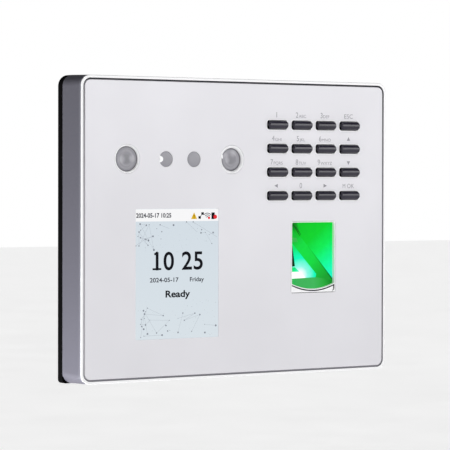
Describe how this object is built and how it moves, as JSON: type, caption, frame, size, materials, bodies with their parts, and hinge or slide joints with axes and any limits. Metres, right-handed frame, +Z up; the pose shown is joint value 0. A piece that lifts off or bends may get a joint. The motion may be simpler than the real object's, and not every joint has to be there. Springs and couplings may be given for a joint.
{
  "type": "fingerprint terminal",
  "caption": "Wall-mounted fingerprint terminal: a shallow box with a display, camera windows, bar-shaped keys and a lit fingerprint window, hung on a steel wall bracket.",
  "frame": {"origin": "on the wall plane, behind the middle of the front panel", "axes": "+Z up, +Y into the wall, +X to the right of a user who faces the panel"},
  "size_m": [0.1656, 0.0218, 0.1358],
  "materials": {
    "panel": "printed acrylic, satin",
    "adhesive": "double-sided sheet",
    "silver_shell": "silver-grey paint",
    "black_shell": "fine moulded grain",
    "bracket_steel": "zinc plated",
    "screw_steel": "zinc plated",
    "silicone": "matte silicone",
    "circuit_board": "green solder mask",
    "spring_steel": "bright",
    "screen": "lit display under glass",
    "white_plastic": "moulded",
    "ribbon": "flexible circuit",
    "bezel": "satin silver",
    "finger_glass": "optical glass lit green",
    "black_plastic": "moulded",
    "lamp": "clear resin",
    "lens_ring": "bright",
    "lens_pane": "smoked optical pane",
    "infrared_cover": "infrared filter",
    "chip": "moulded epoxy",
    "capacitor": "sleeved can",
    "socket_steel": "nickel plated",
    "key_cap": "moulded, satin"
  },
  "bodies": {
    "case": {"front_panel": "panel", "panel_adhesive": "adhesive", "front_housing": "silver_shell", "rear_cover": "black_shell", "wall_bracket": "bracket_steel", "lock_screw": "screw_steel", "cover_screws": "screw_steel", "board_screws": "screw_steel", "inner_screws": "screw_steel", "keypad_membrane": "silicone", "keypad_board": "circuit_board", "main_board": "circuit_board", "camera_board": "circuit_board", "sensor_board": "circuit_board", "card_antenna": "circuit_board", "key_switches": "spring_steel", "lcd_panel": "screen", "lcd_frame": "spring_steel", "lcd_backlight": "white_plastic", "lcd_ribbon": "ribbon", "finger_bezel": "bezel", "finger_prism": "finger_glass", "sensor_housing": "black_plastic", "sensor_lamps": "lamp", "sensor_camera": "black_plastic", "lens_rings": "lens_ring", "camera_panes": "lens_pane", "camera_modules": "black_plastic", "infrared_covers": "infrared_cover", "infrared_lamps": "lamp", "board_chips": "chip", "board_capacitors": "capacitor", "lock_relay": "black_plastic", "battery_holder": "black_plastic", "clock_battery": "spring_steel", "buzzer": "black_plastic", "speaker": "black_plastic", "wire_headers": "white_plastic", "usb_port": "socket_steel", "usb_tongue": "white_plastic", "reset_switch": "black_plastic", "tamper_switch": "black_plastic"},
    "key_one": {"key_one": "key_cap"},
    "key_two": {"key_two": "key_cap"},
    "key_three": {"key_three": "key_cap"},
    "key_escape": {"key_escape": "key_cap"},
    "key_four": {"key_four": "key_cap"},
    "key_five": {"key_five": "key_cap"},
    "key_six": {"key_six": "key_cap"},
    "key_up": {"key_up": "key_cap"},
    "key_seven": {"key_seven": "key_cap"},
    "key_eight": {"key_eight": "key_cap"},
    "key_nine": {"key_nine": "key_cap"},
    "key_down": {"key_down": "key_cap"},
    "key_left": {"key_left": "key_cap"},
    "key_zero": {"key_zero": "key_cap"},
    "key_right": {"key_right": "key_cap"},
    "key_enter": {"key_enter": "key_cap"},
    "reset_button": {"reset_button": "white_plastic"},
    "tamper_plunger": {"tamper_plunger": "white_plastic"}
  },
  "joints": [
    {"name": "key_one_press", "type": "slide", "parent": "case", "child": "key_one", "axis": [0, 1, 0], "range_m": [0, 0.0008], "stiffness_N_per_m": 1200, "springref_m": -0.0002},
    {"name": "key_two_press", "type": "slide", "parent": "case", "child": "key_two", "axis": [0, 1, 0], "range_m": [0, 0.0008], "stiffness_N_per_m": 1200, "springref_m": -0.0002},
    {"name": "key_three_press", "type": "slide", "parent": "case", "child": "key_three", "axis": [0, 1, 0], "range_m": [0, 0.0008], "stiffness_N_per_m": 1200, "springref_m": -0.0002},
    {"name": "key_escape_press", "type": "slide", "parent": "case", "child": "key_escape", "axis": [0, 1, 0], "range_m": [0, 0.0008], "stiffness_N_per_m": 1200, "springref_m": -0.0002},
    {"name": "key_four_press", "type": "slide", "parent": "case", "child": "key_four", "axis": [0, 1, 0], "range_m": [0, 0.0008], "stiffness_N_per_m": 1200, "springref_m": -0.0002},
    {"name": "key_five_press", "type": "slide", "parent": "case", "child": "key_five", "axis": [0, 1, 0], "range_m": [0, 0.0008], "stiffness_N_per_m": 1200, "springref_m": -0.0002},
    {"name": "key_six_press", "type": "slide", "parent": "case", "child": "key_six", "axis": [0, 1, 0], "range_m": [0, 0.0008], "stiffness_N_per_m": 1200, "springref_m": -0.0002},
    {"name": "key_up_press", "type": "slide", "parent": "case", "child": "key_up", "axis": [0, 1, 0], "range_m": [0, 0.0008], "stiffness_N_per_m": 1200, "springref_m": -0.0002},
    {"name": "key_seven_press", "type": "slide", "parent": "case", "child": "key_seven", "axis": [0, 1, 0], "range_m": [0, 0.0008], "stiffness_N_per_m": 1200, "springref_m": -0.0002},
    {"name": "key_eight_press", "type": "slide", "parent": "case", "child": "key_eight", "axis": [0, 1, 0], "range_m": [0, 0.0008], "stiffness_N_per_m": 1200, "springref_m": -0.0002},
    {"name": "key_nine_press", "type": "slide", "parent": "case", "child": "key_nine", "axis": [0, 1, 0], "range_m": [0, 0.0008], "stiffness_N_per_m": 1200, "springref_m": -0.0002},
    {"name": "key_down_press", "type": "slide", "parent": "case", "child": "key_down", "axis": [0, 1, 0], "range_m": [0, 0.0008], "stiffness_N_per_m": 1200, "springref_m": -0.0002},
    {"name": "key_left_press", "type": "slide", "parent": "case", "child": "key_left", "axis": [0, 1, 0], "range_m": [0, 0.0008], "stiffness_N_per_m": 1200, "springref_m": -0.0002},
    {"name": "key_zero_press", "type": "slide", "parent": "case", "child": "key_zero", "axis": [0, 1, 0], "range_m": [0, 0.0008], "stiffness_N_per_m": 1200, "springref_m": -0.0002},
    {"name": "key_right_press", "type": "slide", "parent": "case", "child": "key_right", "axis": [0, 1, 0], "range_m": [0, 0.0008], "stiffness_N_per_m": 1200, "springref_m": -0.0002},
    {"name": "key_enter_press", "type": "slide", "parent": "case", "child": "key_enter", "axis": [0, 1, 0], "range_m": [0, 0.0008], "stiffness_N_per_m": 1200, "springref_m": -0.0002},
    {"name": "reset_button_press", "type": "slide", "parent": "case", "child": "reset_button", "axis": [0, 0, 1], "range_m": [0, 0.0003], "stiffness_N_per_m": 3000, "springref_m": -0.0001},
    {"name": "tamper_plunger_slide", "type": "slide", "parent": "case", "child": "tamper_plunger", "axis": [0, -1, 0], "range_m": [0, 0.0015], "stiffness_N_per_m": 300, "springref_m": -0.001}
  ]
}
